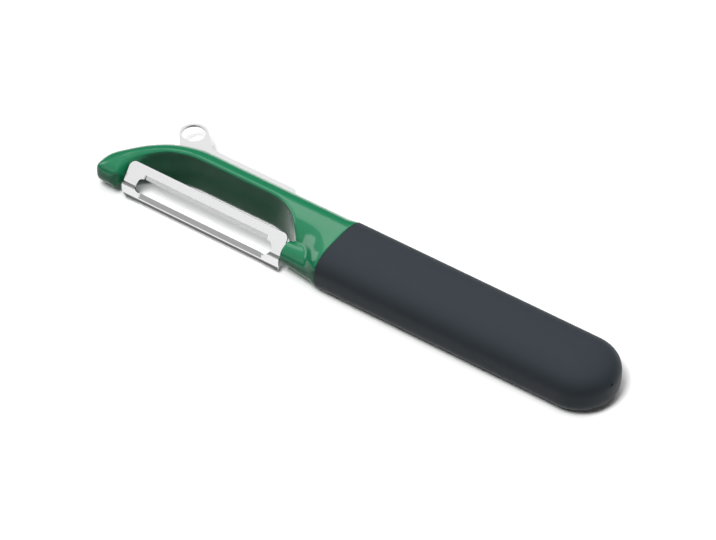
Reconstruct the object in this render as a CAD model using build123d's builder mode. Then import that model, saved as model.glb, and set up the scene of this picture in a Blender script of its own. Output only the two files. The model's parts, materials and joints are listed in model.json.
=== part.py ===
"""Swivel-blade vegetable peeler with a soft grip, a bow-shaped head and an eye remover.

Millimetres, +Z up. The origin is on the flat underside of the grip, halfway along it.
+X runs along the handle towards the butt, and the blade stands on the -Y side.
"""
from build123d import *
from math import acos, asin, atan2, copysign, cos, pi, radians, sin, sqrt
import os

# Handle section, shared by the grip and the neck
handle_width = 26.3
handle_height = 15.2
section_power = 3.0
rest_flat_depth = 0.05

# Grip
grip_length = 102.7
grip_stands_proud = 0.2
grip_edge_bevel = 0.3

# Neck and bow of the head
bow_thickness = 8.0
bow_straight_length = 55.5
bow_bend_lead_in = 6.0
bow_bend_radius = 33.0
bow_bend_angle = 49.0
inner_straight_length = 57.0
inner_bend_radius = 23.3
toe_run = 6.4
toe_outer_radius = 9.0
toe_inner_radius = 10.0
toe_thickness = 9.4
toe_front_run = 4.5
toe_half_height = 4.8
toe_corner_radius = 3.0
toe_inner_corner_radius = 3.4
toe_edge_radius = 4.5
toe_end_radius = 3.6
rim_radius = 0.8
toe_rim_radius = 4.0

# Closed end of the gap beside the blade, and the slope of the neck in front of it
gap_straight_start = 30.0
gap_end_radius = 18.0
gap_end_turn = 45.0
slope_length = 12.0
wall_allowance = 0.5
end_face_cosine = 0.9

# Boss that carries the blade at the neck
pivot_offset = 8.0
boss_shift = 0.3
boss_radius = 3.8
boss_reach = 14.2
boss_root_shift = 1.0
boss_root_half_width = 5.6
boss_root_half_height = 5.6
boss_root_drop = 1.3

# Core that runs inside the grip
tang_length = 88.0
tang_width = 19.0
tang_height = 8.6
tang_window_length = 13.0
tang_window_width = 7.0
tang_window_pitch = 26.0
tang_window_count = 3

# Blade, a pressed strip with a long slot
blade_sheet = 0.6
blade_tilt = 59.6
edge_offset = 0.9
high_edge_reach = 5.56
high_crease_reach = 1.77
high_crease_rise = 1.14
low_edge_reach = 6.67
low_crease_reach = 2.63
low_crease_rise = 1.91
crease_radius = 0.8
tip_corner_radius = 2.4
neck_high_corner_radius = 1.8
neck_low_corner_radius = 0.6
neck_side_play = 0.4
tip_side_play = 0.55

# Slot of the blade and its ground edges
slot_length = 53.4
slot_width = 4.75
slot_drop = 1.12
slot_shift = 0.3
high_bevel_width = 1.46
low_bevel_width = 1.8
bevel_land = 0.15
relief_width = 0.5
relief_hole_diameter = 0.8
relief_hole_gap = 0.3

# Pivot pins and the ears of the blade
pin_diameter = 1.5
pin_running_clearance = 0.05
pin_overhang = 0.5
neck_pin_depth = 5.2
tip_pin_recess = 0.9
ear_radius = 1.65
ear_foot_radius = 0.3
ear_high_reach = 3.0
ear_low_reach = 3.9
tip_washer_radius = 2.2
tip_washer_height = 0.3
pin_end_chamfer = 0.2

# Eye remover, a flat plate set in the back of the bow
plate_thickness = 0.8
eye_hole_diameter = 7.9
eye_rim = 0.85
eye_reach = 70.95
eye_offset = 19.6
eye_throat_reach = 72.0
eye_throat_offset = 13.5
eye_root_reach = 67.5
eye_root_offset = 6.5
fin_reach = 3.8
fin_embed = 3.6
fin_rear_reach = 27.0
fin_front_reach = 61.0
fin_corner_radius = 2.4

# Small round mark of the mould's gate on the butt
gate_diameter = 1.1
gate_depth = 0.25
gate_rise = 3.1
gate_side = 1.7

# Counts, and shares that shape the neck, the boss and the bow
quarter_steps = 6
back_steps = 12
lead_steps = 3
bend_steps = 6
toe_steps = 3
toe_inner_turn_share = 0.6
taper_start_share = 0.5
taper_power = 1.4
slope_steps = 4
slope_shares = (
    (0.170, 0.997), (0.023, 0.986), (-0.123, 0.900), (-0.278, 0.730),
    (-0.470, 0.440), (-0.650, 0.170), (-0.780, 0.0),
)
boss_reach_shares = (0.0, 0.35, 0.68, 1.0)
boss_taper_shares = (0.0, 0.44, 0.80, 1.0)

# Worked-out places
overrun = handle_width
half_width = handle_width / 2
half_height = handle_height / 2
mid_z = half_height - rest_flat_depth
seam_x = -grip_length / 2
butt_centre_x = grip_length / 2 - half_width
neck_half_width = half_width - grip_stands_proud
neck_half_height = half_height - grip_stands_proud
wall_y = neck_half_width - bow_thickness
boss_offset = pivot_offset + boss_shift
boss_root_offset = pivot_offset - boss_root_shift
bend_x = seam_x - bow_straight_length
arm_end_x = bend_x + bow_bend_lead_in
boss_face_x = seam_x - boss_reach
blade_neck_x = boss_face_x - neck_side_play
pin_radius = pin_diameter / 2
ear_hole_radius = pin_radius + pin_running_clearance
tilt = radians(blade_tilt)


def outline_point(half_w, half_h, angle):
    """Point of the handle's rounded section, seen along the handle."""
    across, up = cos(angle), sin(angle)
    spread = abs(across / half_w) ** section_power + abs(up / half_h) ** section_power
    reach = spread ** (-1 / section_power)
    return (reach * across, reach * up)


def outline_heading(half_w, half_h, angle):
    """Direction in which the section's outline runs at that point, anticlockwise."""
    y, z = outline_point(half_w, half_h, angle)
    power = section_power - 1
    along = copysign(abs(z / half_h) ** power / half_h, -z)
    up = copysign(abs(y / half_w) ** power / half_w, y)
    return (along, up)


def outline_spline(half_w, half_h, start, end, steps):
    """Stretch of the section's outline between two angles."""
    angles = [start + (end - start) * step / steps for step in range(steps + 1)]
    points = [outline_point(half_w, half_h, angle) for angle in angles]
    headings = [outline_heading(half_w, half_h, angle) for angle in (start, end)]
    return Spline(points, tangents=headings)


def wall_angle(half_w, half_h, wall):
    """Angle of the outline's point above an upright wall at that distance from the middle."""
    height = half_h * (1 - (wall / half_w) ** section_power) ** (1 / section_power)
    return atan2(height, wall)


def front_spline(wall, blend):
    """Outline from above the wall round the front, drawn in to a slope as blend grows to 1."""
    edge = wall_angle(neck_half_width, neck_half_height, wall)
    upper = [outline_point(neck_half_width, neck_half_height, edge)]
    for step, (across_share, up_share) in enumerate(slope_shares, start=1):
        angle = edge + (pi - edge) * step / len(slope_shares)
        y, z = outline_point(neck_half_width, neck_half_height, angle)
        slope_y, slope_z = across_share * neck_half_width, up_share * neck_half_height
        upper.append((y + (slope_y - y) * blend, z + (slope_z - z) * blend))
    nose = (upper.pop()[0], 0)
    lower = [(y, -z) for y, z in reversed(upper)]
    headings = [outline_heading(neck_half_width, neck_half_height, angle) for angle in (edge, -edge)]
    return Spline(upper + [nose] + lower, tangents=headings)


def cross_plane(x):
    """Plane square to the handle, with its own x along +Y and its own y up."""
    return Plane(origin=(x, 0, mid_z), x_dir=(0, 1, 0), z_dir=(1, 0, 0))


def neck_section(x, blend):
    wall = wall_y - wall_allowance
    edge = wall_angle(neck_half_width, neck_half_height, wall)
    with BuildSketch(cross_plane(x)) as sketch:
        with BuildLine():
            front_spline(wall, blend)
            outline_spline(neck_half_width, neck_half_height, -edge, edge, back_steps)
        make_face()
    return sketch.sketch


def bow_section(outer, inner, loss):
    """Section of the bow: the handle's rounded back, cut off by an upright inner wall."""
    half_h = neck_half_height - (neck_half_height - toe_half_height) * loss
    outward = (outer - inner).normalized()
    centre = outer - outward * neck_half_width
    upright = outward.cross(Vector(0, 0, 1))
    plane = Plane(origin=(centre.X, centre.Y, mid_z), x_dir=outward, z_dir=upright)
    wall = neck_half_width - (outer - inner).length
    edge = wall_angle(neck_half_width, half_h, wall - wall_allowance)
    with BuildSketch(plane) as sketch:
        with BuildLine():
            back = outline_spline(neck_half_width, half_h, -edge, edge, back_steps)
            Line(back @ 1, back @ 0)
        make_face()
        with Locations((wall - overrun, 0)):
            Rectangle(2 * overrun, 2 * overrun, mode=Mode.SUBTRACT)
        fillet(sketch.vertices(), rim_radius + (toe_rim_radius - rim_radius) * loss)
    return sketch.sketch


def outer_bend(angle):
    turned = Vector(-sin(angle), cos(angle)) * bow_bend_radius
    return Vector(bend_x, neck_half_width - bow_bend_radius) + turned


def inner_bend(angle):
    turned = Vector(-sin(angle), cos(angle)) * inner_bend_radius
    return Vector(inner_bend_x, wall_y - inner_bend_radius) + turned


def toe_bend(angle):
    """Outer point of the toe, which turns the rest of the way after a short straight run."""
    turned = radians(bow_bend_angle)
    run_end = outer_bend(turned) + Vector(-cos(turned), -sin(turned)) * toe_run
    centre = run_end + Vector(sin(turned), -cos(turned)) * toe_outer_radius
    return centre + Vector(-sin(angle), cos(angle)) * toe_outer_radius


toe_end = toe_bend(pi / 2)
toe_inner_x = toe_end.X + toe_thickness
inner_bend_x = seam_x - inner_straight_length
inner_toe_drift = inner_bend_x - toe_inner_x - toe_inner_radius
inner_toe_start = asin(inner_toe_drift / (inner_bend_radius - toe_inner_radius))
blade_tip_x = toe_inner_x + tip_washer_height + tip_side_play
blade_length = blade_neck_x - blade_tip_x
blade_mid_x = (blade_neck_x + blade_tip_x) / 2
bevel_length = slot_length - slot_width
face_plane = Plane(
    origin=(blade_mid_x, -pivot_offset, mid_z), x_dir=(1, 0, 0), z_dir=(0, -sin(tilt), cos(tilt))
)
neck_pin_end_x = blade_neck_x - blade_sheet - pin_overhang
tip_pin_end_x = blade_tip_x + blade_sheet + pin_overhang


def inner_toe(angle):
    """Inner point of the toe, on the tighter arc between the bend and its upright inner face."""
    turned = Vector(-sin(angle), cos(angle)) * toe_inner_radius
    centre_y = inner_bend(inner_toe_start).Y - toe_inner_radius * cos(inner_toe_start)
    return Vector(toe_inner_x + toe_inner_radius, centre_y) + turned


def bow_stations():
    """Outer and inner points of the sections that the bend and the toe pass through."""
    turned = radians(bow_bend_angle)
    pairs = []
    for step in range(1, lead_steps + 1):
        x = arm_end_x - bow_bend_lead_in * step / lead_steps
        pairs.append((Vector(x, neck_half_width), Vector(x, wall_y)))
    for step in range(1, bend_steps + 1):
        angle = turned * step / bend_steps
        pairs.append((outer_bend(angle), inner_bend(angle)))
    for step in range(toe_steps + 1):
        angle = turned + (pi / 2 - turned) * step / toe_steps
        pairs.append((toe_bend(angle), inner_toe(pi / 2 - (pi / 2 - angle) * toe_inner_turn_share)))
    front_y = toe_end.Y - toe_front_run
    pairs.append((Vector(toe_end.X, front_y), Vector(toe_inner_x, front_y)))
    return pairs


def station_losses(pairs):
    """Share of its height that each section of the bow has lost, from the bend's middle to the toe."""
    taper_start = bow_bend_lead_in + taper_start_share * bow_bend_radius * radians(bow_bend_angle)
    travelled = [arm_end_x - pairs[0][0].X]
    for (before, _), (after, _) in zip(pairs, pairs[1:]):
        travelled.append(travelled[-1] + (after - before).length)
    whole = travelled[-1] - taper_start
    return [(max(run - taper_start, 0) / whole) ** taper_power for run in travelled]


def grip_half_sketch(x, inset):
    """Half of the grip's section at x, on the side of +Y, drawn in by an inset."""
    half_w, half_h = half_width - inset, half_height - inset
    with BuildSketch(cross_plane(x)) as sketch:
        with BuildLine():
            outline_spline(half_w, half_h, -pi / 2, 0, quarter_steps)
            outline_spline(half_w, half_h, 0, pi / 2, quarter_steps)
            Line((0, half_h), (0, -half_h))
        make_face()
    return sketch.sketch


def tang_sketch():
    """Core inside the grip, in plan, with its windows."""
    straight = tang_length - tang_width / 2
    with BuildSketch(Plane.XY.offset(mid_z)) as sketch:
        with Locations((seam_x + straight / 2, 0)):
            Rectangle(straight, tang_width)
        with Locations((seam_x + straight, 0)):
            Circle(tang_width / 2)
        with Locations((seam_x + tang_length / 2, 0)):
            with GridLocations(tang_window_pitch, 0, tang_window_count, 1):
                SlotOverall(tang_window_length, tang_window_width, mode=Mode.SUBTRACT)
    return sketch.sketch


def gap_sketch():
    """Space beside the blade, in plan, with its slanted end at the neck."""
    turn = radians(gap_end_turn)
    straight_end = Vector(seam_x - gap_straight_start, wall_y)
    arc_end = straight_end + Vector(sin(turn), cos(turn) - 1) * gap_end_radius
    slant_end = arc_end + Vector(cos(turn), -sin(turn)) * overrun
    far_x = bend_x - overrun
    with BuildSketch(Plane.XY) as sketch:
        with BuildLine():
            Line((far_x, wall_y), straight_end)
            TangentArc(straight_end, arc_end, tangent=(1, 0))
            Polyline(arc_end, slant_end, (far_x, slant_end.Y), (far_x, wall_y))
        make_face()
    return sketch.sketch


def tangent_point(centre, radius, point, side):
    """Where a line from the point touches the circle, on the side given as 1 or -1."""
    away = point - centre
    turn = atan2(away.Y, away.X) + side * acos(radius / away.length)
    return centre + Vector(cos(turn), sin(turn)) * radius


def eye_plate_sketch():
    """Eye remover in plan: ring, web, and the fin along the back of the bow."""
    centre = Vector(seam_x - eye_reach, eye_offset)
    rim = eye_hole_diameter / 2 + eye_rim
    fin_y = neck_half_width + fin_reach
    inner_y = neck_half_width - fin_embed
    rear_x = seam_x - fin_rear_reach
    web_corner = Vector(seam_x - fin_front_reach, fin_y)
    throat = Vector(seam_x - eye_throat_reach, eye_throat_offset)
    web_top = tangent_point(centre, rim, web_corner, 1)
    throat_top = tangent_point(centre, rim, throat, -1)
    with BuildSketch(Plane.XY.offset(mid_z)) as sketch:
        with BuildLine():
            FilletPolyline(
                web_top, web_corner, (rear_x, fin_y), (rear_x, inner_y), radius=fin_corner_radius
            )
            root = (seam_x - eye_root_reach, eye_root_offset)
            Polyline((rear_x, inner_y), (bend_x, inner_y), root, throat, throat_top, web_top)
        make_face()
        with Locations((centre.X, centre.Y)):
            Circle(rim)
            Circle(eye_hole_diameter / 2, mode=Mode.SUBTRACT)
    return sketch.sketch


def gap_rim(part):
    """Long edges of the upright walls round the gap beside the blade."""
    walls = [
        face for face in part.faces()
        if face.geom_type in (GeomType.PLANE, GeomType.CYLINDER)
        and abs(face.normal_at().X) < end_face_cosine
    ]
    return [edge for edge in ShapeList(walls).edges() if abs((edge @ 1 - edge @ 0).X) > wall_allowance]


def corner_sketch(plane, corner, inward, radius):
    """Waste outside a rounded corner, where inward gives the signs towards the material."""
    with BuildSketch(plane) as sketch:
        with Locations(corner):
            Rectangle(2 * radius, 2 * radius)
        with Locations((corner[0] + inward[0] * radius, corner[1] + inward[1] * radius)):
            Circle(radius, mode=Mode.SUBTRACT)
    return sketch.sketch


def toe_corner_sketches():
    """Waste at the corners of the toe's flat front end, in plan and from both sides."""
    front_y = toe_end.Y - toe_front_run
    side = Plane.YZ.offset(toe_end.X)
    end = Plane(origin=(0, front_y, 0), x_dir=(1, 0, 0), z_dir=(0, -1, 0))
    return [
        corner_sketch(Plane.XY, (toe_end.X, front_y), (1, 1), toe_corner_radius),
        corner_sketch(Plane.XY, (toe_inner_x, front_y), (-1, 1), toe_inner_corner_radius),
        corner_sketch(side, (front_y, mid_z + toe_half_height), (1, -1), toe_edge_radius),
        corner_sketch(side, (front_y, mid_z - toe_half_height), (1, 1), toe_edge_radius),
        corner_sketch(end, (toe_end.X, mid_z + toe_half_height), (1, -1), toe_end_radius),
        corner_sketch(end, (toe_end.X, mid_z - toe_half_height), (1, 1), toe_end_radius),
    ]


def boss_section(reach_share, taper):
    """Oval section of the boss, which narrows from the seam to its face."""
    with BuildSketch(cross_plane(seam_x - boss_reach * reach_share)) as sketch:
        shift = (boss_offset - boss_root_offset) * taper
        with Locations((-boss_root_offset - shift, -boss_root_drop * (1 - taper))):
            Ellipse(
                boss_root_half_width - (boss_root_half_width - boss_radius) * taper,
                boss_root_half_height - (boss_root_half_height - boss_radius) * taper,
            )
    return sketch.sketch


def pivot_disc(x, radius):
    """Round section on the pivot line, seen along the handle."""
    with BuildSketch(cross_plane(x)) as sketch:
        with Locations((-pivot_offset, 0)):
            Circle(radius)
    return sketch.sketch


def blade_plane(x):
    """Plane across the blade on its pivot line: own x up the blade's face, own y out of it."""
    return Plane(origin=(x, -pivot_offset, mid_z), x_dir=(0, cos(tilt), sin(tilt)), z_dir=(1, 0, 0))


def leg_height(up):
    """Height of the blade's outer surface over the pivot line, on its upper or lower leg."""
    if up > 0:
        slope = high_crease_rise / (high_edge_reach + high_crease_reach)
        return edge_offset + slope * (high_edge_reach - up)
    slope = low_crease_rise / (low_edge_reach - low_crease_reach)
    return edge_offset + slope * (low_edge_reach + up)


def bevel_sketch(edge, width):
    """Waste over a ground edge of the slot, as wide as given, up or down the blade."""
    start = edge + width
    with BuildSketch(blade_plane(blade_mid_x + slot_shift - bevel_length / 2)) as sketch:
        with BuildLine():
            Polyline(
                (start, leg_height(start)),
                (edge, leg_height(edge) - blade_sheet + bevel_land),
                (edge, leg_height(edge) + blade_sheet),
                (start, leg_height(start) + blade_sheet),
                close=True,
            )
        make_face()
    return sketch.sketch


def slot_sketch():
    """Openings of the blade, seen square to its face."""
    bevel_middle = (high_bevel_width - low_bevel_width) / 2
    with BuildSketch(face_plane) as sketch:
        with Locations((slot_shift, -slot_drop)):
            SlotOverall(slot_length, slot_width)
        with Locations((slot_shift - bevel_length / 2, bevel_middle - slot_drop)):
            Rectangle(relief_width, slot_width + high_bevel_width + low_bevel_width)
        with Locations((slot_shift + bevel_length / 2 + relief_hole_gap, -slot_width / 2 - slot_drop)):
            Circle(relief_hole_diameter / 2)
    return sketch.sketch


def face_sketch():
    """Outline of the blade with its rounded corners, seen square to its face."""
    with BuildSketch(face_plane) as sketch:
        with Locations((0, (high_edge_reach - low_edge_reach) / 2)):
            Rectangle(blade_length, high_edge_reach + low_edge_reach)
        fillet(sketch.vertices().group_by(Axis.X)[0], tip_corner_radius)
        fillet(sketch.vertices().group_by(Axis.X)[-1].sort_by(Axis.Y)[-1], neck_high_corner_radius)
        fillet(sketch.vertices().group_by(Axis.X)[-1].sort_by(Axis.Y)[0], neck_low_corner_radius)
    return sketch.sketch


def gate_sketch():
    """Gate mark on the rounded butt, at the depth where it ends."""
    rise_share = (1 - (gate_rise / half_height) ** section_power) ** (1 / section_power)
    surface = sqrt((half_width * rise_share) ** 2 - gate_side ** 2)
    with BuildSketch(Plane.YZ.offset(butt_centre_x + surface - gate_depth)) as sketch:
        with Locations((-gate_side, mid_z + gate_rise)):
            Circle(gate_diameter / 2)
    return sketch.sketch


# Sections and outlines that the pieces share
grip_start_x = seam_x + grip_edge_bevel
grip_mouth_section = grip_half_sketch(seam_x, grip_edge_bevel)
grip_start_section = grip_half_sketch(grip_start_x, 0)
grip_butt_section = grip_half_sketch(butt_centre_x, 0)
tang_outline = tang_sketch()
gap_outline = gap_sketch()
eye_outline = eye_plate_sketch()
neck_pin_section = pivot_disc(neck_pin_end_x, pin_radius)
neck_pin_length = boss_face_x + neck_pin_depth - neck_pin_end_x
tip_pin_section = pivot_disc(tip_pin_end_x, pin_radius)
tip_pin_length = tip_pin_end_x - toe_end.X - tip_pin_recess
washer_section = pivot_disc(toe_inner_x + tip_washer_height, tip_washer_radius)
neck_faces = []
for step in range(slope_steps + 1):
    share = step / slope_steps
    neck_faces.append(neck_section(seam_x - slope_length * share, share ** 2 * (3 - 2 * share)))
stations = bow_stations()
bow_faces = [bow_section(*pair, loss) for pair, loss in zip(stations, station_losses(stations))]
boss_faces = [boss_section(*shares) for shares in zip(boss_reach_shares, boss_taper_shares)]
waste_corners = toe_corner_sketches()
gate_outline = gate_sketch()
bevels = (
    bevel_sketch(slot_width / 2 - slot_drop, high_bevel_width),
    bevel_sketch(-slot_width / 2 - slot_drop, -low_bevel_width),
)

# Grip: the soft sleeve round the core
with BuildPart() as grip_sleeve:
    loft([grip_mouth_section, grip_start_section], ruled=True)
    extrude(grip_start_section, amount=butt_centre_x - grip_start_x)
    revolve(grip_butt_section, axis=Axis((butt_centre_x, 0, 0), (0, 0, -1)), revolution_arc=90)
    mirror(about=Plane.XZ)
    split(bisect_by=Plane.XY, keep=Keep.TOP)
    extrude(tang_outline, amount=tang_height / 2, both=True, mode=Mode.SUBTRACT)
    extrude(gate_outline, amount=overrun, mode=Mode.SUBTRACT)

# Head: neck, bow, toe, the boss for the blade and the core inside the grip
with BuildPart() as head_frame:
    loft(neck_faces)
    extrude(neck_faces[-1], amount=seam_x - slope_length - arm_end_x, dir=(-1, 0, 0))
    extrude(gap_outline, amount=overrun, both=True, mode=Mode.SUBTRACT)
    fillet(gap_rim(head_frame.part), rim_radius)
    loft([head_frame.faces().sort_by(Axis.X)[0]] + bow_faces)
    for waste in waste_corners:
        extrude(waste, amount=overrun, both=True, mode=Mode.SUBTRACT)
    loft(boss_faces)
    extrude(washer_section, amount=-tip_washer_height - toe_thickness / 2)
    extrude(neck_pin_section, amount=neck_pin_length, mode=Mode.SUBTRACT)
    extrude(tip_pin_section, amount=-overrun, mode=Mode.SUBTRACT)
    extrude(eye_outline, amount=plate_thickness / 2, both=True, mode=Mode.SUBTRACT)
    extrude(tang_outline, amount=tang_height / 2, both=True)

# Pins that the blade turns on
with BuildPart() as neck_pivot_pin:
    extrude(neck_pin_section, amount=neck_pin_length)
    chamfer(neck_pivot_pin.edges().filter_by(GeomType.CIRCLE), pin_end_chamfer)

with BuildPart() as tip_pivot_pin:
    extrude(tip_pin_section, amount=-tip_pin_length)
    chamfer(tip_pivot_pin.edges().filter_by(GeomType.CIRCLE), pin_end_chamfer)

# Eye remover
with BuildPart() as eye_remover:
    extrude(eye_outline, amount=plate_thickness / 2, both=True)

# Blade: the pressed strip, its ground slot and the ears that ride on the pins
slot_outline = slot_sketch()
blade_outline = face_sketch()
with BuildPart() as swivel_blade:
    with BuildSketch(blade_plane(blade_tip_x)):
        with BuildLine():
            FilletPolyline(
                (-low_edge_reach, edge_offset),
                (-low_crease_reach, edge_offset + low_crease_rise),
                (-high_crease_reach, edge_offset + high_crease_rise),
                (high_edge_reach, edge_offset),
                radius=crease_radius,
            )
            offset(amount=blade_sheet, side=Side.RIGHT)
        make_face()
    extrude(amount=blade_length)
    for bevel in bevels:
        extrude(bevel, amount=bevel_length, mode=Mode.SUBTRACT)
    extrude(slot_outline, amount=overrun, both=True, mode=Mode.SUBTRACT)
    extrude(blade_outline, amount=overrun, both=True, mode=Mode.INTERSECT)
    for ear_x in (blade_tip_x, blade_neck_x - blade_sheet):
        with BuildSketch(blade_plane(ear_x)):
            Circle(ear_radius)
            for foot in (ear_high_reach, -ear_low_reach):
                with Locations((foot, leg_height(foot) - ear_foot_radius)):
                    Circle(ear_foot_radius)
            make_hull()
            Circle(ear_hole_radius, mode=Mode.SUBTRACT)
        extrude(amount=blade_sheet)

pieces = {
    "grip_sleeve": grip_sleeve,
    "head_frame": head_frame,
    "swivel_blade": swivel_blade,
    "neck_pivot_pin": neck_pivot_pin,
    "tip_pivot_pin": tip_pivot_pin,
    "eye_remover": eye_remover,
}
os.makedirs("parts", exist_ok=True)
for name, piece in pieces.items():
    piece.part.label = name
    export_step(piece.part, f"parts/{name}.step")
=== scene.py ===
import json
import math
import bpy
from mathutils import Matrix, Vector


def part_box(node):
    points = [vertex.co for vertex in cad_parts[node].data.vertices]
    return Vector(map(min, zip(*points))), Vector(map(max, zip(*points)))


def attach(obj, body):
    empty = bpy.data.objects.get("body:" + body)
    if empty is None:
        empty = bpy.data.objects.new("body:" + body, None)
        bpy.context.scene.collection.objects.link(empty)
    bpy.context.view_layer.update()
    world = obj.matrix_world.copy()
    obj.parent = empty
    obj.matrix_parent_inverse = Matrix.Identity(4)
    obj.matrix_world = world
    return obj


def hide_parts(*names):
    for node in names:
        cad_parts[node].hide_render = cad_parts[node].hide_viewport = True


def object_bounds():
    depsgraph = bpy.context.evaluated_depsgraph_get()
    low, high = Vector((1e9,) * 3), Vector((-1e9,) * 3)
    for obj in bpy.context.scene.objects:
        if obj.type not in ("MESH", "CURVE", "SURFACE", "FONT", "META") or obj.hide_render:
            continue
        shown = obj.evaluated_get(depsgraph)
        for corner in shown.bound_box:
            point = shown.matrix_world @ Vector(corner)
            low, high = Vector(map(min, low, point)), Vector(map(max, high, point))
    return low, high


bl_info = {
    "name": "Swivel Vegetable Peeler",
    "version": (1, 0, 0),
    "blender": (4, 5, 0),
    "location": "3D View > Sidebar > Peeler",
    "description": "Finishes a swivel-blade vegetable peeler and its stage",
    "category": "Object",
}

import bmesh
import bpy
from bpy.props import FloatProperty, FloatVectorProperty, IntProperty, PointerProperty
from bpy.types import Operator, Panel, PropertyGroup
from mathutils import Vector

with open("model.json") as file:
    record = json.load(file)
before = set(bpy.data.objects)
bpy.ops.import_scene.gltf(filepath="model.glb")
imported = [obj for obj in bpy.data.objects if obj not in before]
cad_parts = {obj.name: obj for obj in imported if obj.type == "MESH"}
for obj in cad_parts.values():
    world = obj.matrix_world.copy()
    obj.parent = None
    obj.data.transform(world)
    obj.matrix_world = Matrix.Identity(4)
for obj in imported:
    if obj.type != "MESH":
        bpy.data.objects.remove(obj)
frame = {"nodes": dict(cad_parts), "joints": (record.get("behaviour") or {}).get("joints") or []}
CAD_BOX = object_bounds()
MM = 0.001
X_AXIS = (1.0, 0.0, 0.0)
Y_AXIS = (0.0, 1.0, 0.0)
Z_AXIS = (0.0, 0.0, 1.0)

# Sockets of a Mix node that mixes colours
MIX_SHARE, MIX_FIRST, MIX_SECOND, MIX_RESULT = 0, 6, 7, 2

# How often the noise of each finish comes back along x, y and z, per metre
RUBBER_CLOUDS = (60.0, 90.0, 90.0)
PLASTIC_CLOUDS = (35.0, 60.0, 60.0)
PLASTIC_SMEARS = (90.0, 260.0, 260.0)
STEEL_CLOUDS = (70.0, 240.0, 240.0)
ROLLED_LINES = (120.0, 9000.0, 9000.0)
GROUND_STROKES = (7000.0, 500.0, 500.0)

# How far the clouds make each colour lighter and darker
RUBBER_SPREAD = 0.07
PLASTIC_SPREAD = 0.05
STEEL_SPREAD = 0.03

# What the noise and the masks add to each roughness
RUBBER_UNEVEN = 0.1
GRAIN_UNEVEN = 0.06
PLASTIC_UNEVEN = 0.06
WALL_DULLER = 0.1
STEEL_UNEVEN = 0.05
LINES_UNEVEN = 0.06
GROUND_DULLER = 0.12

# Between which values a mask of the moulding or the blade comes in
FACING_BACK = (-0.3, 0.1)
OFF_UPRIGHT = (0.1, 0.4)
FACING_UP = (0.0, 0.4)
BEHIND_BLADE = (-4 * MM, -1 * MM)
FACING_OUT = (0.5, 0.7)

# The painted shade on the wall inside the bow runs past the blade by that much, and ends that
# softly
WALL_PAST_BLADE = 3 * MM
WALL_EDGE = 2 * MM

# How softly the ground edges, their ends and the creases of the blade end
GROUND_EDGE = 0.06 * MM
GROUND_END = 0.05 * MM
CREASE_EDGE = 0.1 * MM

# Between which distances the moulding starts to fall away or to be smoothed
CROWN_OFF_SEAM = (0.3 * MM, 4 * MM)
SOFT_OFF_SEAM = (0.3 * MM, 2.5 * MM)
SOFT_OFF_PLATE = (0.1 * MM, 0.8 * MM)
SOFT_OFF_PIN = (0.1 * MM, 1.0 * MM)
TOE_OFF_BLADE = (2 * MM, 6 * MM)
TOE_FORWARD = (-2 * MM, 4 * MM)
SMOOTHING = 0.5

# Length of the stretches of the bow in which its outer wall is found
COLUMN = 1 * MM

# The room turns bright between these rises. How bright it looks, and its light, low and high
ROOM_RISE = (0.35, 0.65)
ROOM_LOOK = (0.12, 1.0)
ROOM_LIGHT = (0.04, 0.24)

# Squares along each side of the floor, and the camera's sensor in mm and nearest sight in metres
FLOOR_CELLS = 8
SENSOR_WIDTH = 36.0
NEAREST_SEEN = 0.05


class Signal:
    """A value on its way between two nodes of a shader. Sums can be written on numbers."""

    def __init__(self, shader, socket):
        self.shader = shader
        self.socket = socket

    def _maths(self, operation, first, second):
        sockets = {0: first, 1: second}
        return self.shader.add("ShaderNodeMath", {"operation": operation}, sockets)["Value"]

    def __add__(self, other):
        return self._maths("ADD", self, other)

    def __radd__(self, other):
        return self._maths("ADD", other, self)

    def __sub__(self, other):
        return self._maths("SUBTRACT", self, other)

    def __rsub__(self, other):
        return self._maths("SUBTRACT", other, self)

    def __mul__(self, other):
        return self._maths("MULTIPLY", self, other)

    def __rmul__(self, other):
        return self._maths("MULTIPLY", other, self)


class Step:
    """A node that is in place, whose outputs are read by name or number."""

    def __init__(self, shader, node):
        self.shader = shader
        self.node = node

    def __getitem__(self, name):
        return Signal(self.shader, self.node.outputs[name])


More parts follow.
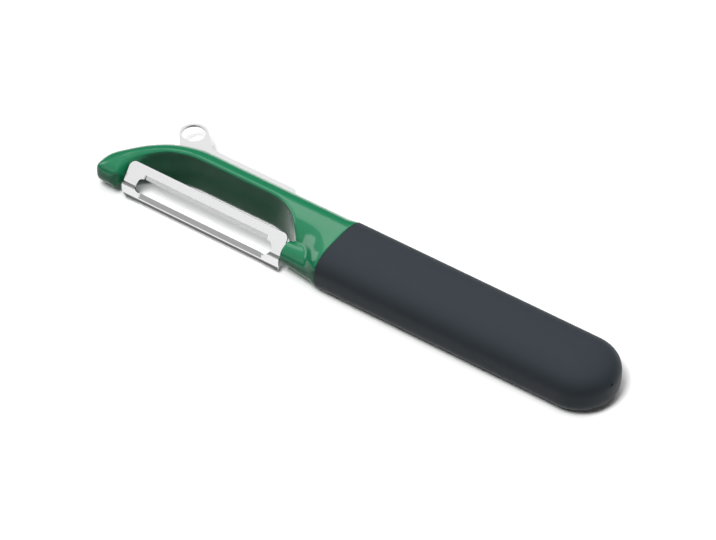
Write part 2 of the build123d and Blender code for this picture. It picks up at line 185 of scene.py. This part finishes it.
class Shader:
    """The nodes of one material or of the world."""

    def __init__(self, owner):
        owner.use_nodes = True
        self.tree = owner.node_tree
        self.tree.nodes.clear()

    def add(self, kind, settings=None, sockets=None):
        """Adds a node: its settings first, then the values or the links of its sockets."""
        node = self.tree.nodes.new(kind)
        for name, value in (settings or {}).items():
            setattr(node, name, value)
        for name, value in (sockets or {}).items():
            if isinstance(value, Signal):
                self.tree.links.new(value.socket, node.inputs[name])
            else:
                node.inputs[name].default_value = value
        return Step(self, node)

    def place(self):
        """Where a point of the piece lies, in metres."""
        return self.add("ShaderNodeTexCoord")["Object"]

    def stretched(self, scale):
        """The place, scaled by that much along each axis."""
        return self.add("ShaderNodeMapping", {}, {"Vector": self.place(), "Scale": scale})["Vector"]

    def noise(self, where, detail=2.0, roughness=0.5, scale=1.0):
        """Soft noise between 0 and 1."""
        sockets = {"Vector": where, "Scale": scale, "Detail": detail, "Roughness": roughness}
        return self.add("ShaderNodeTexNoise", {}, sockets)["Fac"]

    def eased(self, value, low, high):
        """0 below low, 1 above high, and eased in between."""
        settings = {"interpolation_type": "SMOOTHSTEP"}
        sockets = {"Value": value, "From Min": low, "From Max": high}
        return self.add("ShaderNodeMapRange", settings, sockets)["Result"]

    def blend(self, share, first, second):
        """A colour between two others."""
        sockets = {MIX_SHARE: share, MIX_FIRST: first, MIX_SECOND: second}
        return self.add("ShaderNodeMix", {"data_type": "RGBA"}, sockets)[MIX_RESULT]

    def clouded(self, cloud, colour, spread, share=1.0):
        """A colour that the clouds make lighter and darker by that spread."""
        darker = opaque(colour, share * (1 - spread))
        lighter = opaque(colour, share * (1 + spread))
        return self.blend(cloud, darker, lighter)

    def looked_at(self):
        """1 for what the camera sees, straight on or in gloss or glass, 0 for bounced light."""
        rays = self.add("ShaderNodeLightPath")
        seen = rays["Is Camera Ray"] + rays["Is Glossy Ray"] + rays["Is Transmission Ray"]
        return self.eased(seen, 0.0, 1.0)

    def along(self, vector, direction):
        """How far a vector reaches in a direction."""
        settings = {"operation": "DOT_PRODUCT"}
        return self.add("ShaderNodeVectorMath", settings, {0: vector, 1: direction})["Value"]

    def band(self, value, low, high, edge):
        """1 between low and high and 0 outside, with soft edges."""
        past = self.eased(value, high - edge, high + edge)
        return self.eased(value, low - edge, low + edge) * (1.0 - past)

    def bump(self, height, depth):
        """The surface's direction over bumps of that depth in metres."""
        return self.add("ShaderNodeBump", {}, {"Height": height, "Distance": depth})["Normal"]

    def surface(self, sockets):
        """The finished surface of a material."""
        principled = self.add("ShaderNodeBsdfPrincipled", {}, sockets)
        self.add("ShaderNodeOutputMaterial", {}, {"Surface": principled["BSDF"]})


def opaque(colour, share=1.0):
    """A colour as a node's socket takes it, made lighter or darker."""
    return (colour[0] * share, colour[1] * share, colour[2] * share, 1.0)


def eased_step(value, low, high):
    """0 below low, 1 above high, and eased in between."""
    share = min(max((value - low) / (high - low), 0.0), 1.0)
    return share * share * (3 - 2 * share)


def applied(piece):
    """Turns a piece's modifiers into its mesh."""
    bpy.context.view_layer.update()
    shaped = piece.evaluated_get(bpy.context.evaluated_depsgraph_get())
    mesh = bpy.data.meshes.new_from_object(shaped)
    piece.modifiers.clear()
    piece.vertex_groups.clear()
    piece.data = mesh


def cover(node, material):
    """Gives a CAD node one material all over."""
    for slot in frame["nodes"][node].material_slots:
        slot.material = material


def soft_rubber(size):
    """Soft-touch matte rubber with a fine moulded grain."""
    material = bpy.data.materials.new("soft_rubber")
    shader = Shader(material)
    cloud = shader.noise(shader.stretched(RUBBER_CLOUDS), detail=3.0)
    grain = shader.noise(shader.place(), detail=4.0, roughness=0.6, scale=1 / size.grain)
    shader.surface({
        "Base Color": shader.clouded(cloud, size.colour, RUBBER_SPREAD),
        "Roughness": size.roughness + RUBBER_UNEVEN * cloud + GRAIN_UNEVEN * grain,
        "IOR": 1.5,
        "Specular IOR Level": 0.2,
        "Sheen Weight": 0.05,
        "Sheen Roughness": 0.4,
        "Normal": shader.bump(grain, size.grain_depth),
    })
    return material


def glossy_plastic(size):
    """Glossy moulded plastic with a faint ripple; the wall inside the bow is rougher and gets
    painted shade in its colour.
    """
    material = bpy.data.materials.new("glossy_plastic")
    shader = Shader(material)
    cloud = shader.noise(shader.stretched(PLASTIC_CLOUDS), detail=2.0)
    ripple = shader.noise(shader.place(), detail=1.0, scale=1 / size.ripple)
    smear = shader.noise(shader.stretched(PLASTIC_SMEARS), detail=3.0)
    low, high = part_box("swivel_blade")
    normal = shader.add("ShaderNodeTexCoord")["Normal"]
    level = shader.along(normal, Z_AXIS)
    front = 1.0 - shader.eased(shader.along(normal, Y_AXIS), *FACING_BACK)
    run = shader.along(shader.place(), X_AXIS)
    inside = shader.band(run, low.x, high.x + WALL_PAST_BLADE, WALL_EDGE)
    inside = inside * shader.eased(shader.along(shader.place(), Y_AXIS), *BEHIND_BLADE)
    # The mask of the wall inside the bow, facing the blade: painted shade darkens its colour there,
    # and it is also rougher.
    wall = inside * front * (1.0 - shader.eased(level * level, *OFF_UPRIGHT))
    colour = shader.clouded(cloud, size.colour, PLASTIC_SPREAD)
    shader.surface({
        "Base Color": shader.blend(wall, colour, opaque(size.colour, size.wall_shade_share)),
        "Roughness": size.roughness + PLASTIC_UNEVEN * (smear - 0.5) + WALL_DULLER * wall,
        "IOR": 1.45,
        "Specular IOR Level": 0.22,
        "Coat Weight": size.coat * shader.eased(level, *FACING_UP),
        "Coat Roughness": size.roughness,
        "Normal": shader.bump(ripple, size.ripple_depth),
    })
    return material


def rolled(shader, steel, share=1.0):
    """The fine lines of rolled steel, its clouds and its clouded colour."""
    lines = shader.noise(shader.stretched(ROLLED_LINES), detail=3.0, roughness=0.6)
    cloud = shader.noise(shader.stretched(STEEL_CLOUDS), detail=2.0)
    return lines, cloud, shader.clouded(cloud, steel.colour, STEEL_SPREAD, share)


def ground_strip(steel, size):
    """The blade's rolled steel, greyer on its ground edges. Painted shade darkens it from the
    crease down, along the crease and further on the lower ground edge, and a painted shadow darkens
    its hem.
    """
    material = bpy.data.materials.new("blade_steel")
    shader = Shader(material)
    low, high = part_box("swivel_blade")
    pivot = Vector(frame["joints"][0]["pos_m"])
    up = Vector((0.0, math.cos(size.tilt), math.sin(size.tilt)))
    out = Vector((0.0, -math.sin(size.tilt), math.cos(size.tilt)))
    rise = shader.along(shader.place(), up) - pivot.dot(up)
    normal = shader.add("ShaderNodeTexCoord")["Normal"]
    facing = shader.eased(shader.along(normal, out), *FACING_OUT)
    run = shader.along(shader.place(), X_AXIS) - (low.x + high.x) / 2
    reach = size.ground_length / 2
    ground = shader.band(run, -reach, reach, GROUND_END) * facing
    top, bottom = size.upper_edge + size.upper_width, size.lower_edge - size.lower_width
    upper = ground * shader.band(rise, size.upper_edge, top, GROUND_EDGE)
    lower = ground * shader.band(rise, bottom, size.lower_edge, GROUND_EDGE)
    half = size.crease_width / 2
    crease = facing * shader.band(rise, size.crease - half, size.crease + half, CREASE_EDGE)
    hem = facing * (1.0 - shader.eased(rise, size.hem - CREASE_EDGE, size.hem + CREASE_EDGE))
    below = facing * (1.0 - shader.eased(rise, size.crease - half, size.crease + half))
    strokes = shader.noise(shader.stretched(GROUND_STROKES), detail=3.0, roughness=0.6)
    lines, cloud, colour = rolled(shader, steel)
    # Painted shade below the crease, along the crease and on the lower ground edge, a painted
    # shadow along the hem, and a greyer upper ground edge.
    for mask, share in (
        (below, size.below_shade_share),
        (upper, size.upper_share),
        (lower, size.lower_ground_shade_share),
        (crease, size.crease_shade_share),
        (hem, size.hem_shadow_share),
    ):
        colour = shader.blend(mask, colour, opaque(steel.colour, share))
    uneven = LINES_UNEVEN * lines + STEEL_UNEVEN * cloud
    shader.surface({
        "Base Color": colour,
        "Metallic": 1.0,
        "Roughness": size.roughness + uneven + GROUND_DULLER * (upper + lower),
        "Normal": shader.bump(lines + (upper + lower) * strokes, steel.line_depth),
    })
    return material


def rolled_steel(name, steel, roughness, share=1.0):
    """Bright rolled steel with fine lines along it, made darker by the share."""
    material = bpy.data.materials.new(name)
    shader = Shader(material)
    lines, cloud, colour = rolled(shader, steel, share)
    shader.surface({
        "Base Color": colour,
        "Metallic": 1.0,
        "Roughness": roughness - STEEL_UNEVEN + LINES_UNEVEN * lines + STEEL_UNEVEN * cloud,
        "Normal": shader.bump(lines, steel.line_depth),
    })
    return material


def fraction(name, description, value):
    """A share or a roughness, between 0 and 1."""
    return FloatProperty(
        name=name, description=description, subtype="FACTOR", min=0.0, max=1.0, default=value,
    )


class PeelerGrip(PropertyGroup):
    """Finish of the soft grip."""

    colour: FloatVectorProperty(
        name="Colour", description="Colour of the soft grip",
        subtype="COLOR", size=3, min=0.0, max=1.0, default=(0.034, 0.043, 0.052),
    )
    roughness: fraction("Roughness", "Roughness of the rubber where it is smoothest", 0.44)
    grain: FloatProperty(
        name="Grain", description="Width of the moulded grain",
        unit="LENGTH", precision=5, min=0.00001, default=0.25 * MM,
    )
    grain_depth: FloatProperty(
        name="Grain Depth", description="Depth of the moulded grain",
        unit="LENGTH", precision=6, min=0.0, default=0.012 * MM,
    )


class PeelerHead(PropertyGroup):
    """Finish of the moulded head."""

    colour: FloatVectorProperty(
        name="Colour", description="Colour of the moulded head",
        subtype="COLOR", size=3, min=0.0, max=1.0, default=(0.012, 0.27, 0.118),
    )
    roughness: fraction("Roughness", "Roughness of the gloss", 0.14)
    coat: fraction("Coat", "Weight of the glossy coat on what faces up", 0.55)
    # Share of the head's colour that the wall inside the bow keeps under its painted shade.
    wall_shade_share: fraction(
        "Wall Share", "How much of its colour the duller wall inside the bow keeps", 0.5,
    )
    cell: FloatProperty(
        name="Cell", description="Size of the cells that the moulding is cast in",
        unit="LENGTH", precision=5, min=0.0001, default=0.35 * MM,
    )
    crown_width: FloatProperty(
        name="Crown Width", description="Width of the strip that falls away towards the outer wall",
        unit="LENGTH", precision=5, min=0.001, default=6 * MM,
    )
    crown_drop: FloatProperty(
        name="Crown Drop", description="How far that strip falls away",
        unit="LENGTH", precision=5, min=0.0, default=1.3 * MM,
    )
    softening: IntProperty(
        name="Softening", description="How many rounds of smoothing the edges of the moulding get",
        min=0, default=10,
    )
    toe_softening: IntProperty(
        name="Toe Softening", description="How many more rounds of smoothing the toe gets",
        min=0, default=50,
    )
    ripple: FloatProperty(
        name="Ripple", description="Width of the faint ripple in the gloss",
        unit="LENGTH", precision=5, min=0.0001, default=4 * MM,
    )
    ripple_depth: FloatProperty(
        name="Ripple Depth", description="Depth of the faint ripple",
        unit="LENGTH", precision=6, min=0.0, default=0.01 * MM,
    )


class PeelerSteel(PropertyGroup):
    """Finish of the blade, the eye remover and the pins."""

    colour: FloatVectorProperty(
        name="Colour", description="Colour that the steel reflects",
        subtype="COLOR", size=3, min=0.0, max=1.0, default=(0.86, 0.86, 0.865),
    )
    line_depth: FloatProperty(
        name="Line Depth", description="Depth of the fine rolled lines",
        unit="LENGTH", precision=6, min=0.0, default=0.002 * MM,
    )
    pin_roughness: fraction("Pin Roughness", "Roughness of the drawn pins", 0.26)
    plate_roughness: fraction("Plate Roughness", "Roughness of the stamped plate", 0.36)
    plate_share: fraction("Plate Share", "How much of the steel's colour the plate keeps", 0.6)


def length(name, description, value):
    """A length in metres, as a user sets it."""
    return FloatProperty(
        name=name, description=description, unit="LENGTH", precision=5, default=value,
    )


class PeelerBlade(PropertyGroup):
    """The blade's ground edges and its creases, measured up its face from the pivots."""

    tilt: FloatProperty(
        name="Tilt", description="Angle of the blade's face above the floor at rest",
        unit="ROTATION", default=math.radians(59.6),
    )
    ground_length: length("Ground Length", "Length of the ground edges", 48.6 * MM)
    upper_edge: length("Upper Edge", "Height of the slot's upper edge", 1.25 * MM)
    upper_width: length("Upper Width", "Width of the upper ground edge", 1.46 * MM)
    lower_edge: length("Lower Edge", "Height of the slot's lower edge", -3.5 * MM)
    lower_width: length("Lower Width", "Width of the lower ground edge", 1.8 * MM)
    # Below this height the blade's colour is darkened by a painted shadow along its lower edge.
    hem: length("Hem", "Height below which the lower edge is duller", -5.75 * MM)
    crease: length("Crease", "Height of the crease", -2.2 * MM)
    crease_width: length("Crease Width", "Width of the crease", 0.8 * MM)
    roughness: fraction("Roughness", "Roughness of the blade where it is smoothest", 0.16)
    # The shares below darken the steel's colour: painted shade below the crease, along the crease
    # and on the lower ground edge, a painted shadow along the hem, and a greyer upper ground edge.
    below_shade_share: fraction("Below Share", "Share of the steel's colour kept below the crease", 0.76)
    upper_share: fraction("Upper Share", "Share of it kept on the upper ground edge", 0.72)
    lower_ground_shade_share: fraction("Lower Share", "Share of it kept on the lower ground edge", 0.38)
    crease_shade_share: fraction("Crease Share", "Share of it kept along the crease", 0.3)
    hem_shadow_share: fraction("Hem Share", "Share of it kept along the hem", 0.12)


def width(name, description, value):
    """A width of a lamp."""
    return FloatProperty(name=name, description=description, unit="LENGTH", min=0.01, default=value)


def watts(name, description, value):
    """The power of a lamp."""
    return FloatProperty(name=name, description=description, unit="POWER", min=0.0, default=value)


def spot(name, description, value):
    """The place of a lamp, measured from the middle of the peeler."""
    return FloatVectorProperty(
        name=name, description=description, subtype="TRANSLATION", size=3, default=value,
    )


class PeelerStage(PropertyGroup):
    """Floor, lamps and camera."""

    floor_colour: FloatVectorProperty(
        name="Floor Colour", description="Colour of the floor",
        subtype="COLOR", size=3, min=0.0, max=1.0, default=(0.97, 0.97, 0.97),
    )
    floor_bounce: fraction(
        "Floor Bounce", "Share of its colour that the floor throws back on the peeler", 0.12,
    )
    floor_width: FloatProperty(
        name="Floor Width", description="Width of the floor",
        unit="LENGTH", min=0.5, default=12.0,
    )
    fade_start: FloatProperty(
        name="Fade Start", description="How far out the floor starts to turn into plain white",
        unit="LENGTH", min=0.1, default=0.13,
    )
    fade_end: FloatProperty(
        name="Fade End", description="How far out the floor is plain white",
        unit="LENGTH", min=0.1, default=0.3,
    )
    floor_lamp_place: spot(
        "Floor Lamp Place", "Where the floor's own lamp hangs", (0.08, -0.55, 1.0),
    )
    floor_lamp_width: width("Floor Lamp Width", "Width of the floor's own lamp", 0.36)
    floor_lamp_power: watts("Floor Lamp Power", "Power of the floor's own lamp", 12.0)
    floor_fill_place: spot(
        "Floor Fill Place", "Where the floor's softer lamp hangs", (0.08, 0.0, 1.0),
    )
    floor_fill_width: width("Floor Fill Width", "Width of the floor's softer lamp", 0.7)
    floor_fill_power: watts("Floor Fill Power", "Power of the floor's softer lamp", 4.6)
    top_lamp_place: spot("Top Lamp Place", "Where the lamp overhead hangs", (0.0, 0.05, 1.0))
    top_lamp_width: width("Top Lamp Width", "Width of the lamp overhead", 0.5)
    top_lamp_power: watts("Top Lamp Power", "Power of the lamp overhead", 8.0)
    rear_lamp_place: spot("Rear Lamp Place", "Where the soft box behind hangs", (-0.40, 0.57, 0.70))
    rear_lamp_width: width("Rear Lamp Width", "Width of the soft box behind", 0.5)
    rear_lamp_power: watts("Rear Lamp Power", "Power of the soft box behind", 1.2)
    left_lamp_place: spot(
        "Left Lamp Place", "Where the soft box at the toe's side hangs", (-0.85, -0.1, 0.5),
    )
    left_lamp_width: width("Left Lamp Width", "Width of the soft box at the toe's side", 0.5)
    left_lamp_power: watts("Left Lamp Power", "Power of the soft box at the toe's side", 2.0)
    front_lamp_place: spot(
        "Front Lamp Place", "Where the box that the blade mirrors hangs", (-0.5, -0.8, 0.44),
    )
    front_lamp_width: width("Front Lamp Width", "Width of the box that the blade mirrors", 0.42)
    front_lamp_power: watts("Front Lamp Power", "Power of the box that the blade mirrors", 0.42)
    azimuth: FloatProperty(
        name="Azimuth", description="Angle of the camera from the blade's side towards the butt",
        unit="ROTATION", default=math.radians(35.02),
    )
    elevation: FloatProperty(
        name="Elevation", description="Angle of the camera above the floor",
        unit="ROTATION", default=math.radians(44.0),
    )
    distance: FloatProperty(
        name="Distance", description="Distance of the camera from the seam of the grip",
        unit="LENGTH", min=0.1, default=1.164,
    )
    lens: FloatProperty(
        name="Lens", description="Focal length of the camera",
        unit="CAMERA", min=10.0, default=185.3,
    )
    shift_right: FloatProperty(
        name="Shift Right", description="Shift of the view to the right, in widths of the picture",
        precision=4, default=0.0281,
    )
    shift_up: FloatProperty(
        name="Shift Up", description="Shift of the view upwards, in widths of the picture",
        precision=4, default=0.0027,
    )


def lit(name, floor, state):
    """A list of what a lamp lights: the floor alone, or all but the floor."""
    listed = bpy.data.collections.new(name)
    listed.objects.link(floor)
    listed.collection_objects[0].light_linking.link_state = state
    return listed


def lamp(name, size, centre, lights):
    """A soft square lamp, placed by the settings of its name, that lights what its list says."""
    place = Vector(getattr(size, name + "_place"))
    data = bpy.data.lights.new(name, "AREA")
    data.size = getattr(size, name + "_width")
    data.energy = getattr(size, name + "_power")
    made = bpy.data.objects.new(name, data)
    made.light_linking.receiver_collection = lights
    bpy.context.collection.objects.link(made)
    made.location = centre + place
    made.rotation_mode = "QUATERNION"
    made.rotation_quaternion = (-place).to_track_quat("-Z", "Y")
    return made


class PEELER_OT_grip(Operator):
    """Gives the grip its soft matte rubber"""

    bl_idname = "peeler.grip"
    bl_label = "Soft Grip"

    def execute(self, context):
        cover("grip_sleeve", soft_rubber(context.scene.peeler_grip))
        return {"FINISHED"}


class PEELER_OT_head(Operator):
    """Gives the head its glossy moulded plastic"""

    bl_idname = "peeler.head"
    bl_label = "Moulded Head"

    def execute(self, context):
        size = context.scene.peeler_head
        mesh = frame["nodes"]["head_frame"].data.copy()
        mesh.materials.clear()
        head = bpy.data.objects.new("head_moulding", mesh)
        context.collection.objects.link(head)
        cast = head.modifiers.new("cast", "REMESH")
        cast.mode = "VOXEL"
        cast.voxel_size = size.cell
        cast.use_smooth_shade = True
        applied(head)
        self.crown(head, size)
        self.soften(head, size)
        head.data.materials.append(glossy_plastic(size))
        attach(head, "handle")
        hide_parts("head_frame")
        return {"FINISHED"}

    def crown(self, head, size):
        """Lets the top and the bottom of the bow fall away towards its outer wall."""
        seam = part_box("grip_sleeve")[0].x
        low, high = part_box("head_frame")
        middle, half = (low.z + high.z) / 2, (high.z - low.z) / 2
        wall = {}
        for vertex in head.data.vertices:
            column = math.floor(vertex.co.x / COLUMN)
            wall[column] = max(wall.get(column, low.y), vertex.co.y)
        for vertex in head.data.vertices:
            run = vertex.co.x / COLUMN - 0.5
            column = math.floor(run)
            past = run - column
            before = wall.get(column, wall.get(column + 1))
            after = wall.get(column + 1, wall.get(column))
            off_wall = before + past * (after - before) - vertex.co.y
            share = max(1.0 - off_wall / size.crown_width, 0.0) ** 2
            share *= eased_step(seam - vertex.co.x, *CROWN_OFF_SEAM)
            vertex.co.z -= (vertex.co.z - middle) / half * share * size.crown_drop

    def soften(self, head, size):
        """Rounds the moulding's edges and its toe, and leaves what meets the other pieces crisp."""
        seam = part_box("grip_sleeve")[0].x
        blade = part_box("swivel_blade")
        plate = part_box("eye_remover")
        pins = [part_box("neck_pivot_pin"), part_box("tip_pivot_pin")]
        soft = head.vertex_groups.new(name="soft")
        toe = head.vertex_groups.new(name="toe")
        for vertex in head.data.vertices:
            place = vertex.co
            share = eased_step(seam - place.x, *SOFT_OFF_SEAM)
            below = max(plate[0].z - place.z, place.z - plate[1].z)
            off_plate = max(below, plate[0].y - place.y, place.x - plate[1].x)
            share *= eased_step(off_plate, *SOFT_OFF_PLATE)
            for low, high in pins:
                centre, radius = (low + high) / 2, (high.z - low.z) / 2
                off_pin = math.hypot(place.y - centre.y, place.z - centre.z) - radius
                share *= eased_step(off_pin, *SOFT_OFF_PIN)
            soft.add([vertex.index], share, "REPLACE")
            share *= eased_step(blade[0].x - place.x, *TOE_OFF_BLADE)
            toe.add([vertex.index], share * eased_step(-place.y, *TOE_FORWARD), "REPLACE")
        for group, rounds in ((soft, size.softening), (toe, size.toe_softening)):
            smooth = head.modifiers.new("smooth", "SMOOTH")
            smooth.factor = SMOOTHING
            smooth.iterations = rounds
            smooth.vertex_group = group.name
        applied(head)


class PEELER_OT_blade(Operator):
    """Gives the swivel blade its bright strip steel"""

    bl_idname = "peeler.blade"
    bl_label = "Swivel Blade"

    def execute(self, context):
        cover("swivel_blade", ground_strip(context.scene.peeler_steel, context.scene.peeler_blade))
        return {"FINISHED"}


class PEELER_OT_pins(Operator):
    """Gives the two pivot pins their drawn wire"""

    bl_idname = "peeler.pins"
    bl_label = "Pivot Pins"

    def execute(self, context):
        steel = context.scene.peeler_steel
        wire = rolled_steel("pin_steel", steel, steel.pin_roughness)
        cover("neck_pivot_pin", wire)
        cover("tip_pivot_pin", wire)
        return {"FINISHED"}


class PEELER_OT_eye_remover(Operator):
    """Gives the eye remover its stamped plate"""

    bl_idname = "peeler.eye_remover"
    bl_label = "Eye Remover"

    def execute(self, context):
        steel = context.scene.peeler_steel
        plate = rolled_steel("plate_steel", steel, steel.plate_roughness, steel.plate_share)
        cover("eye_remover", plate)
        return {"FINISHED"}


class PEELER_OT_stage(Operator):
    """Sets up the floor, the backdrop, the lamps and the camera"""

    bl_idname = "peeler.stage"
    bl_label = "Stage"

    def execute(self, context):
        size = context.scene.peeler_stage
        centre = (CAD_BOX[0] + CAD_BOX[1]) / 2
        floor = self.lay_floor(context, size, centre)
        self.paint_backdrop(context)
        floor_alone = lit("floor_alone", floor, "INCLUDE")
        peeler = lit("all_but_floor", floor, "EXCLUDE")
        lamp("floor_lamp", size, centre, floor_alone)
        lamp("floor_fill", size, centre, floor_alone)
        top = lamp("top_lamp", size, centre, peeler)
        top.visible_glossy = False
        for name in ("rear_lamp", "left_lamp", "front_lamp"):
            box = lamp(name, size, centre, peeler)
            box.visible_diffuse = False
        self.set_camera(context, size)
        context.scene.view_settings.view_transform = "Standard"
        return {"FINISHED"}

    def lay_floor(self, context, size, centre):
        """Lays the floor, which turns into plain white away from the peeler."""
        mesh = bpy.data.meshes.new("floor")
        grid = bmesh.new()
        reach = size.floor_width / 2
        bmesh.ops.create_grid(grid, x_segments=FLOOR_CELLS, y_segments=FLOOR_CELLS, size=reach)
        grid.to_mesh(mesh)
        grid.free()
        floor = bpy.data.objects.new("floor", mesh)
        floor.location = (centre.x, centre.y, 0.0)
        context.collection.objects.link(floor)
        material = bpy.data.materials.new("floor_paint")
        shader = Shader(material)
        away = shader.add("ShaderNodeVectorMath", {"operation": "LENGTH"}, {0: shader.place()})
        fade = shader.eased(away["Value"], size.fade_start, size.fade_end)
        bounced = opaque(size.floor_colour, size.floor_bounce)
        colour = shader.blend(shader.looked_at(), bounced, opaque(size.floor_colour))
        paint = shader.add("ShaderNodeBsdfDiffuse", {}, {"Color": colour})["BSDF"]
        white = shader.add("ShaderNodeEmission", {}, {"Strength": 1.0})["Emission"]
        mixed = shader.add("ShaderNodeMixShader", {}, {0: fade, 1: paint, 2: white})["Shader"]
        shader.add("ShaderNodeOutputMaterial", {}, {"Surface": mixed})
        mesh.materials.append(material)
        return floor

    def paint_backdrop(self, context):
        """Paints the room: bright high up and dark low down, for what mirrors it."""
        world = bpy.data.worlds.new("soft_room")
        context.scene.world = world
        shader = Shader(world)
        towards = shader.add("ShaderNodeTexCoord")["Generated"]
        high = shader.eased(shader.along(towards, Z_AXIS), *ROOM_RISE)
        look = ROOM_LOOK[0] + (ROOM_LOOK[1] - ROOM_LOOK[0]) * high
        light = ROOM_LIGHT[0] + (ROOM_LIGHT[1] - ROOM_LIGHT[0]) * high
        strength = light + shader.looked_at() * (look - light)
        background = shader.add("ShaderNodeBackground", {}, {"Strength": strength})["Background"]
        shader.add("ShaderNodeOutputWorld", {}, {"Surface": background})

    def set_camera(self, context, size):
        """Sets up the camera, which looks at the foot of the grip's seam."""
        data = bpy.data.cameras.new("camera")
        data.lens = size.lens
        data.sensor_width = SENSOR_WIDTH
        data.shift_x = size.shift_right
        data.shift_y = size.shift_up
        data.clip_start = NEAREST_SEEN
        camera = bpy.data.objects.new("camera", data)
        context.collection.objects.link(camera)
        seam = Vector((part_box("grip_sleeve")[0].x, 0.0, 0.0))
        flat = math.cos(size.elevation)
        back = Vector((
            math.sin(size.azimuth) * flat,
            -math.cos(size.azimuth) * flat,
            math.sin(size.elevation),
        ))
        camera.location = seam + back * size.distance
        camera.rotation_mode = "QUATERNION"
        camera.rotation_quaternion = (-back).to_track_quat("-Z", "Y")
        context.scene.camera = camera


class VIEW3D_PT_peeler(Panel):
    """Lists the pieces of the peeler and its stage"""

    bl_label = "Vegetable Peeler"
    bl_idname = "VIEW3D_PT_peeler"
    bl_space_type = "VIEW_3D"
    bl_region_type = "UI"
    bl_category = "Peeler"

    def draw(self, context):
        for title, group, operators in PANEL_ROWS:
            box = self.layout.box()
            box.label(text=title)
            settings = getattr(context.scene, group)
            for name in settings.bl_rna.properties.keys():
                if name not in ("rna_type", "name"):
                    box.prop(settings, name)
            for operator in operators:
                box.operator(operator)


PANEL_ROWS = (
    ("Grip", "peeler_grip", ("peeler.grip",)),
    ("Head", "peeler_head", ("peeler.head",)),
    ("Steel", "peeler_steel", ("peeler.pins", "peeler.eye_remover")),
    ("Blade", "peeler_blade", ("peeler.blade",)),
    ("Stage", "peeler_stage", ("peeler.stage",)),
)
SETTINGS = {
    "peeler_grip": PeelerGrip,
    "peeler_head": PeelerHead,
    "peeler_steel": PeelerSteel,
    "peeler_blade": PeelerBlade,
    "peeler_stage": PeelerStage,
}
CLASSES = (
    PeelerGrip,
    PeelerHead,
    PeelerSteel,
    PeelerBlade,
    PeelerStage,
    PEELER_OT_grip,
    PEELER_OT_head,
    PEELER_OT_blade,
    PEELER_OT_pins,
    PEELER_OT_eye_remover,
    PEELER_OT_stage,
    VIEW3D_PT_peeler,
)


def register():
    for made in CLASSES:
        bpy.utils.register_class(made)
    for name, group in SETTINGS.items():
        setattr(bpy.types.Scene, name, PointerProperty(type=group))


def unregister():
    for name in SETTINGS:
        delattr(bpy.types.Scene, name)
    for made in reversed(CLASSES):
        bpy.utils.unregister_class(made)


def main():
    register()
    bpy.ops.peeler.grip()
    bpy.ops.peeler.head()
    bpy.ops.peeler.blade()
    bpy.ops.peeler.pins()
    bpy.ops.peeler.eye_remover()
    bpy.ops.peeler.stage()


if __name__ == "__main__":
    main()
